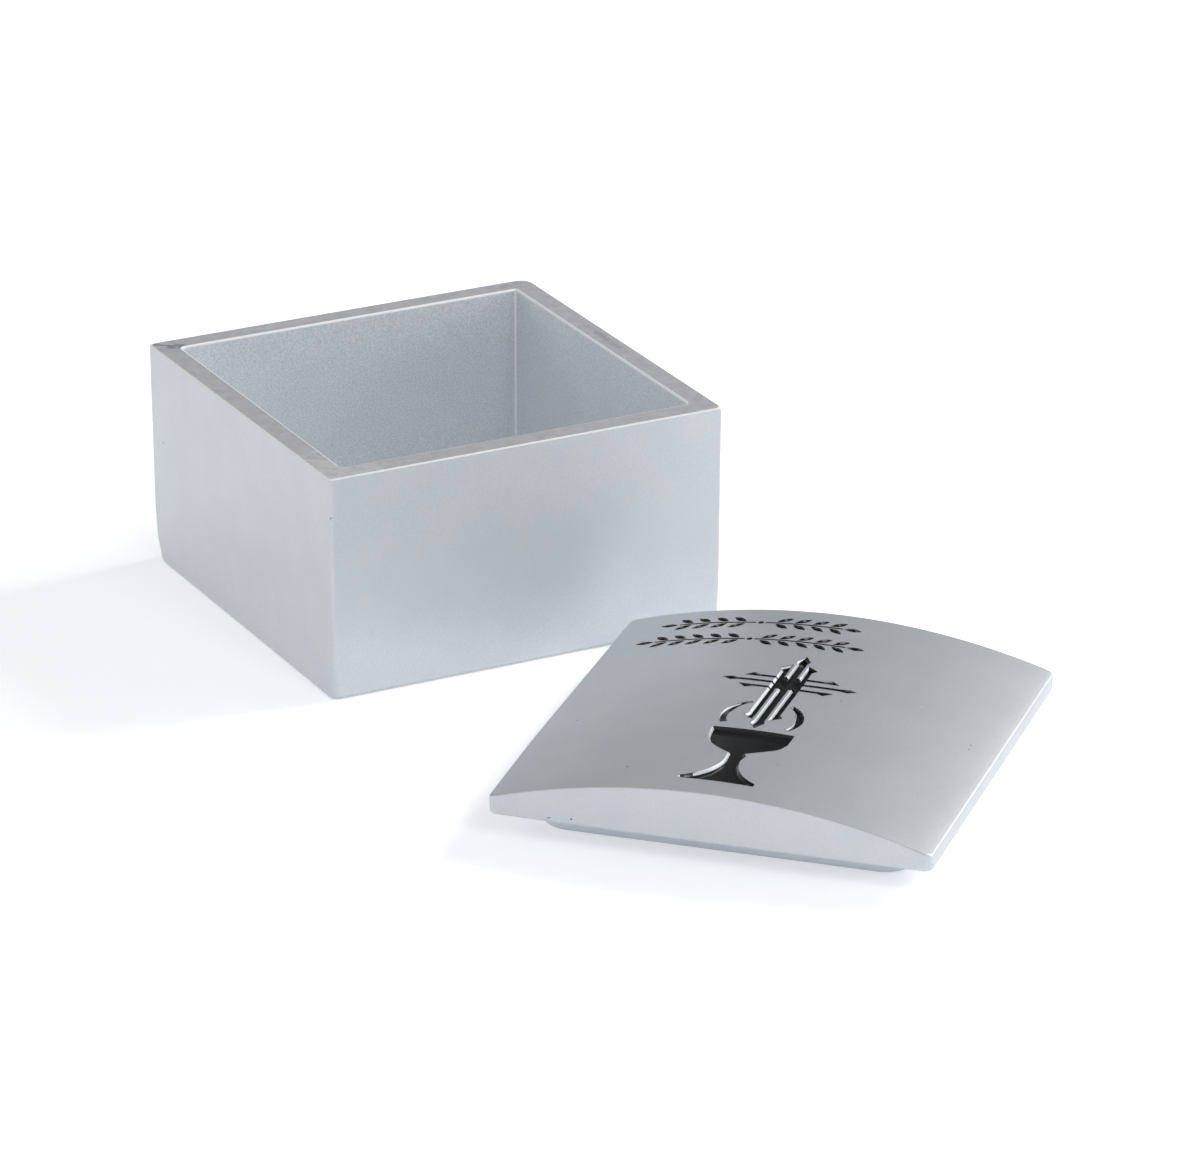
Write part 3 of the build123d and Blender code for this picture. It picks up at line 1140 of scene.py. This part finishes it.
def lay_down(piece):
    """Moves a lid piece from the lid's own frame to where the lid lies, beside the box."""
    only(piece)
    piece.rotation_euler.z = LID_TURN
    piece.location = (LID_X, LID_Y, 0)
    bpy.ops.object.transform_apply(location=True, rotation=True, scale=True)


enamels = [cross_enamel, host_enamel, chalice_enamel, leaf_enamel]
for piece in [lid_casting, *enamels]:
    bow(piece)
for piece in [lid_casting, *enamels]:
    lay_down(piece)
    smooth(piece, 30 if piece == lid_casting else 15)
    print(piece.name, len(piece.data.polygons), "faces")
for piece in enamels:
    piece.data.materials.append(black_enamel)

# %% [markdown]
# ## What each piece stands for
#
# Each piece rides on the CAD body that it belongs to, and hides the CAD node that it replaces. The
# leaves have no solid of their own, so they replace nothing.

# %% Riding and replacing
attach(box_casting, "box")
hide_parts("box_base")
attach(lid_casting, "lid")
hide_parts("lid")
for piece, node in (
    (cross_enamel, "cross_enamel"),
    (host_enamel, "host_enamel"),
    (chalice_enamel, "chalice_enamel"),
    (leaf_enamel, None),
):
    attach(piece, "lid")
    if node:
        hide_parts(node)
print("pieces riding on box and lid:", 2 + len(enamels))

# %% [markdown]
# ## The floor
#
# The box was photographed on a plain white table and later cut out on white. The floor here is
# white in its own colour, with a little glow for the rays that look at it, so that it comes out
# white and still keeps a soft shadow under the castings.


# %% Floor
TABLE_GLOW = 0.38
FADE_FROM, FADE_TO = 0.25, 0.6  # metres from the box where the table turns plain white


def white_table():
    material, tree, shader, place = new_material("white_table")
    tree.nodes.remove(shader)
    output = tree.nodes["Material Output"]
    paths = add_node(tree, "LightPath")
    seen = add_node(
        tree,
        "Math",
        {0: paths.outputs["Is Camera Ray"], 1: paths.outputs["Is Glossy Ray"]},
        operation="MAXIMUM",
    )
    seen = add_node(
        tree, "Math", {0: seen.outputs[0], 1: paths.outputs["Is Transmission Ray"]}, operation="MAXIMUM"
    )
    glow = add_node(tree, "Math", {0: seen.outputs[0], 1: TABLE_GLOW}, operation="MULTIPLY")
    white = add_node(tree, "BsdfDiffuse", {"Color": colour("#F6F8FC")})
    light = add_node(tree, "Emission", {"Color": colour("#FFFFFF"), "Strength": glow.outputs[0]})
    near = add_node(tree, "AddShader", {0: white.outputs[0], 1: light.outputs[0]})
    distance = add_node(tree, "VectorMath", {0: place}, operation="LENGTH")
    far = add_node(
        tree, "MapRange", {"Value": distance.outputs["Value"], "From Min": FADE_FROM, "From Max": FADE_TO}
    )
    plain = add_node(tree, "Emission", {"Color": colour("#FFFFFF"), "Strength": 1.0})
    fade = add_node(tree, "Math", {0: far.outputs["Result"], 1: seen.outputs[0]}, operation="MULTIPLY")
    both = add_node(tree, "MixShader", {0: fade.outputs[0], 1: near.outputs[0], 2: plain.outputs[0]})
    tree.links.new(both.outputs[0], output.inputs["Surface"])
    return material


bpy.ops.mesh.primitive_plane_add(size=8.0, location=(0, 0, 0))
table = new_piece("table")
table.data.materials.append(white_table())
print("floor:", table.name)

# %% [markdown]
# ## The light
#
# The light is a plain studio's: large soft boxes and a pale surround. The boxes' strengths were
# found from the photo's tones, since each flat face shows how much light comes from its side.


# %% Lights
def softbox(name, azimuth, elevation, width, height, radiance):
    """A soft box one metre off, at an azimuth from +X and an elevation in degrees. A radiance of 1
    is white."""
    aim = Vector(mm(10, -45, 15))
    around, up = math.radians(azimuth), math.radians(elevation)
    place = aim + Vector(
        (math.cos(around) * math.cos(up), math.sin(around) * math.cos(up), math.sin(up))
    )
    bpy.ops.object.light_add(type="AREA", location=place)
    lamp = bpy.context.active_object
    lamp.name = lamp.data.name = name
    lamp.data.shape = "RECTANGLE"
    lamp.data.size, lamp.data.size_y = width, height
    lamp.data.energy = radiance * math.pi * width * height
    lamp.rotation_euler = (aim - place).to_track_quat("-Z", "Y").to_euler()


# name, azimuth, elevation, width and height in metres, radiance
LAMPS = [
    ("right", 0, 35, 0.45, 0.4, 9.9),
    ("right_front", 330, 12, 0.36, 0.36, 3.5),
    ("front", 270, 35, 0.4, 0.4, 4.5),
    ("left", 180, 35, 0.4, 0.4, 1.7),
    ("left_back", 150, 12, 0.36, 0.36, 2.5),
    ("back", 90, 35, 0.4, 0.4, 0.3),
]
for lamp_values in LAMPS:
    softbox(*lamp_values)
print(len(LAMPS), "soft boxes")

# %% [markdown]
# ### The surround
#
# Silver and enamel mirror what stands around them. A pale ring low down stands for the walls, and
# a pale ceiling for the bounce above. The dark band between them is about what a level face mirrors
# towards the camera, so it keeps the enamel black.

# %% Surround
world = bpy.data.worlds.new("pale_surround")
world.use_nodes = True
bpy.context.scene.world = world
sky = world.node_tree
direction = add_node(sky, "TexCoord").outputs["Generated"]
split = add_node(sky, "SeparateXYZ", {0: direction})  # Z runs from 0 at the horizon to 1 overhead
ring = add_node(
    sky,
    "MapRange",
    {"Value": split.outputs["Z"], "From Min": 0.30, "From Max": 0.40, "To Min": 0.45, "To Max": 0.0},
)
ceiling = add_node(
    sky,
    "MapRange",
    {"Value": split.outputs["Z"], "From Min": 0.55, "From Max": 0.70, "To Min": 0.0, "To Max": 0.46},
)
both = add_node(sky, "Math", {0: ring.outputs["Result"], 1: ceiling.outputs["Result"]}, operation="ADD")
sky.nodes["Background"].inputs["Color"].default_value = colour("#FFFFFF")
sky.links.new(both.outputs[0], sky.nodes["Background"].inputs["Strength"])
bpy.context.scene.view_settings.view_transform = "Standard"
print("surround:", world.name)
